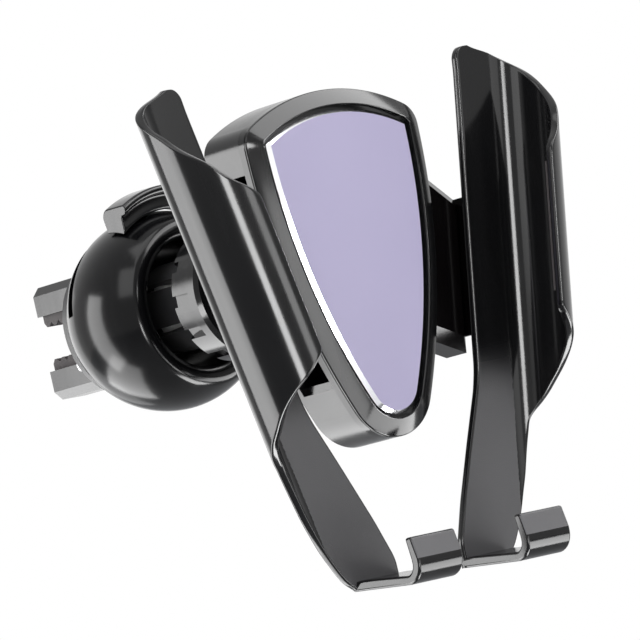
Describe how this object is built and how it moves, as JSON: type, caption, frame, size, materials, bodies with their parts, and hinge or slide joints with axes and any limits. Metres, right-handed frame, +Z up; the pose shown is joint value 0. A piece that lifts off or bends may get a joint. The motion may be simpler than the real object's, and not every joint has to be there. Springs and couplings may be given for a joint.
{
  "type": "air vent phone holder",
  "caption": "Gravity phone holder: a two-jaw vent clip, a ball joint and a shield-shaped body with two geared arms and hooked feet.",
  "frame": {"origin": "on the clip's axis, midway between the two vent jaws' pads", "axes": "+Y from the phone's side towards the vent, +Z up, +X to the right as the phone's user looks at it"},
  "size_m": [0.1038, 0.1179, 0.1062],
  "materials": {
    "gunmetal_gloss": "mirror-like dark coat",
    "black_gloss": "glossy",
    "cover_grey": "satin",
    "panel_lavender": "bright bevelled edge, satin face",
    "black_matte": "matte",
    "neck_grey": "satin",
    "liner_white": "smooth, low friction",
    "rubber_dark": "soft",
    "steel": "plain"
  },
  "bodies": {
    "clip": {"clip_housing": "black_gloss", "clip_back_plate": "black_matte", "ball_stud": "steel", "stud_nut": "steel", "clip_screws": "steel"},
    "lever": {"lever": "gunmetal_gloss", "cam_disc": "black_matte"},
    "upper_jaw": {"upper_jaw": "black_matte", "upper_jaw_pad": "rubber_dark"},
    "lower_jaw": {"lower_jaw": "black_matte", "lower_jaw_pad": "rubber_dark"},
    "ball_cup": {"liner_cup": "liner_white"},
    "ball_ring": {"liner_ring": "liner_white"},
    "holder": {"ball_socket": "neck_grey", "socket_screws": "steel", "back_cover": "cover_grey", "front_frame": "gunmetal_gloss", "face_panel": "panel_lavender", "body_screws": "steel", "right_pivot_pin": "steel", "left_pivot_pin": "steel", "right_return_spring": "steel", "left_return_spring": "steel"},
    "lock_nut": {"lock_nut": "black_matte"},
    "right_arm": {"right_hub": "black_matte", "right_arm": "gunmetal_gloss", "right_lip_pad": "rubber_dark", "right_arm_screws": "steel"},
    "left_arm": {"left_hub": "black_matte", "left_arm": "gunmetal_gloss", "left_lip_pad": "rubber_dark", "left_arm_screws": "steel"}
  },
  "joints": [
    {"name": "lever_turn", "type": "hinge", "parent": "clip", "child": "lever", "pos_m": [0, -0.0224, 0], "axis": [0, -1, 0], "range_deg": [0, 70]},
    {"name": "upper_jaw_slide", "type": "slide", "parent": "clip", "child": "upper_jaw", "axis": [0, 0, -1], "range_m": [0, 0.0024]},
    {"name": "lower_jaw_slide", "type": "slide", "parent": "clip", "child": "lower_jaw", "axis": [0, 0, 1], "range_m": [0, 0.0024]},
    {"name": "ball_pan", "type": "hinge", "parent": "clip", "child": "ball_cup", "pos_m": [0, -0.037, 0], "axis": [0, 0, 1], "range_deg": [-15, 15]},
    {"name": "ball_tilt", "type": "hinge", "parent": "ball_cup", "child": "ball_ring", "pos_m": [0, -0.037, 0], "axis": [1, 0, 0], "range_deg": [-15, 15]},
    {"name": "ball_roll", "type": "hinge", "parent": "ball_ring", "child": "holder", "pos_m": [0, -0.037, 0], "axis": [0, 1, 0], "continuous": true},
    {"name": "nut_turn", "type": "hinge", "parent": "holder", "child": "lock_nut", "pos_m": [0, -0.05275, 0], "axis": [0, 1, 0], "continuous": true},
    {"name": "right_arm_swing", "type": "hinge", "parent": "holder", "child": "right_arm", "pos_m": [0.0155, -0.087, 0.001], "axis": [0, -1, 0], "range_deg": [0, 20], "stiffness_Nm_per_rad": 0.01, "springref_deg": -17.19},
    {"name": "left_arm_swing", "type": "hinge", "parent": "holder", "child": "left_arm", "pos_m": [-0.0155, -0.087, 0.001], "axis": [0, -1, 0], "range_deg": [-20, 0]}
  ],
  "couplings": [
    {"joint": "upper_jaw_slide", "follows": "lever_turn", "m_per_rad": 0.0019644},
    {"joint": "lower_jaw_slide", "follows": "lever_turn", "m_per_rad": 0.0019644},
    {"joint": "left_arm_swing", "follows": "right_arm_swing", "ratio": -1}
  ]
}
